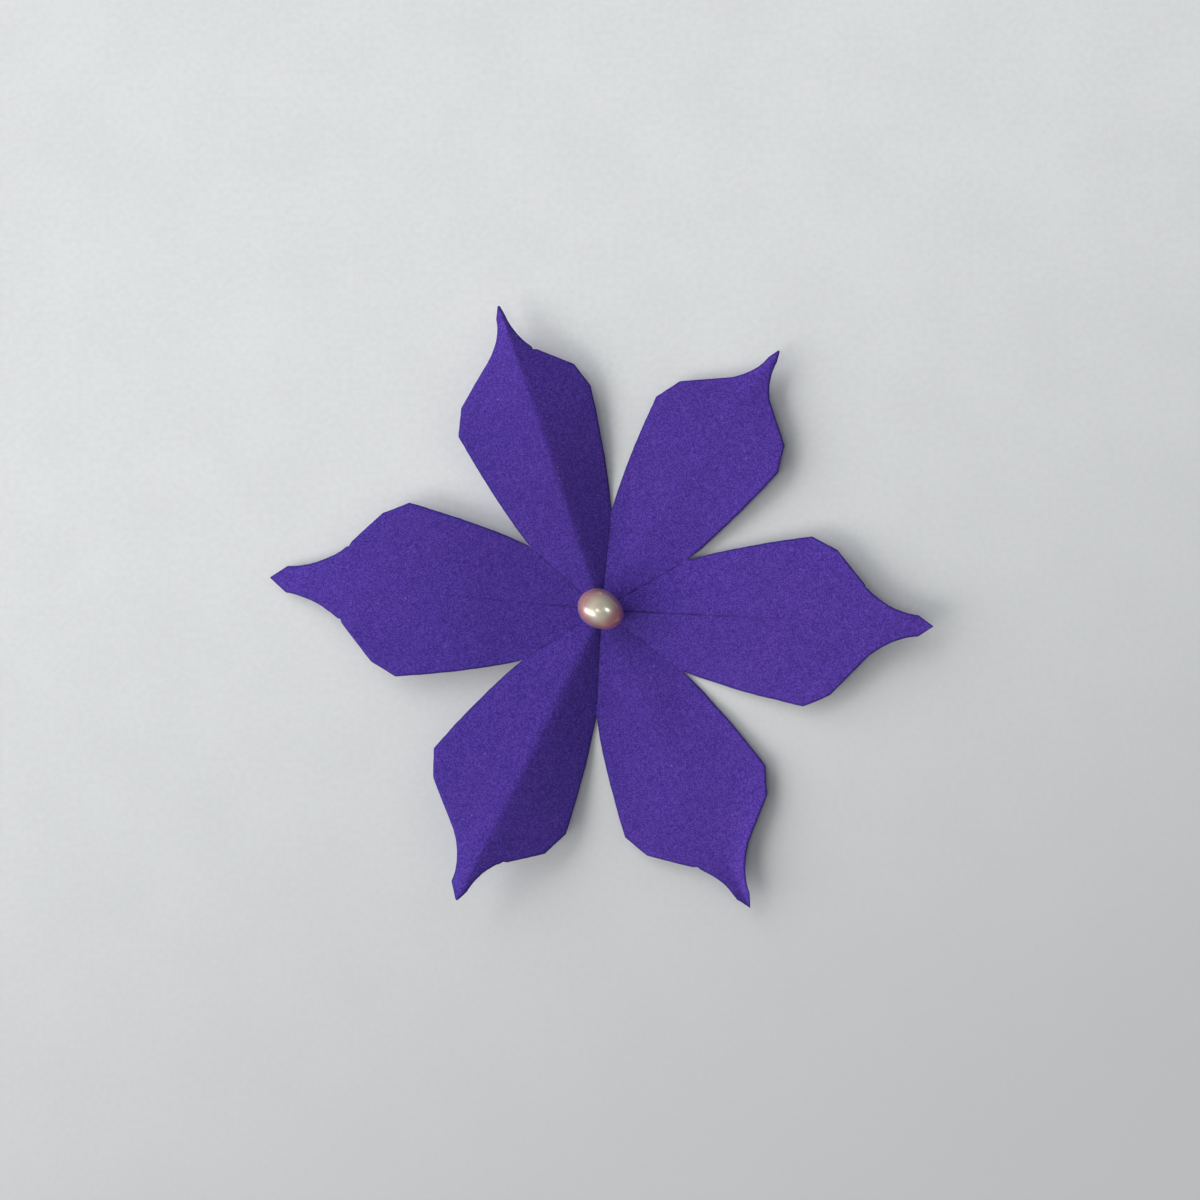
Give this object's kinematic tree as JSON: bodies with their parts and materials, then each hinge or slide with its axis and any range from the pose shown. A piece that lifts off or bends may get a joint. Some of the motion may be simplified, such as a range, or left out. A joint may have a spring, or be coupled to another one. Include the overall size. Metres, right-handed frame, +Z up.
{
  "type": "paper flower",
  "caption": "Flat star-shaped flower cut and creased from one sheet of violet paper, with pointed petals and an oval pearl bead glued at its centre.",
  "frame": {"origin": "the point on the table under the crossing of the creases, at the bottom centre of the flower", "axes": "+Z up out of the flower's face; +X along the longest pair of petals, towards the right one; +Y towards the upper pair"},
  "size_m": [0.0897, 0.0813, 0.0064],
  "materials": {
    "violet_paper": "matte, uncoated, dyed through, with a fine fibre mottle",
    "pearl": "lustrous cream to rose nacre",
    "clear_glue": "clear dried craft glue"
  },
  "bodies": {
    "root": {"petal_sheet": "violet_paper", "pearl_bead": "pearl", "glue_dot": "clear_glue"}
  },
  "joints": []
}
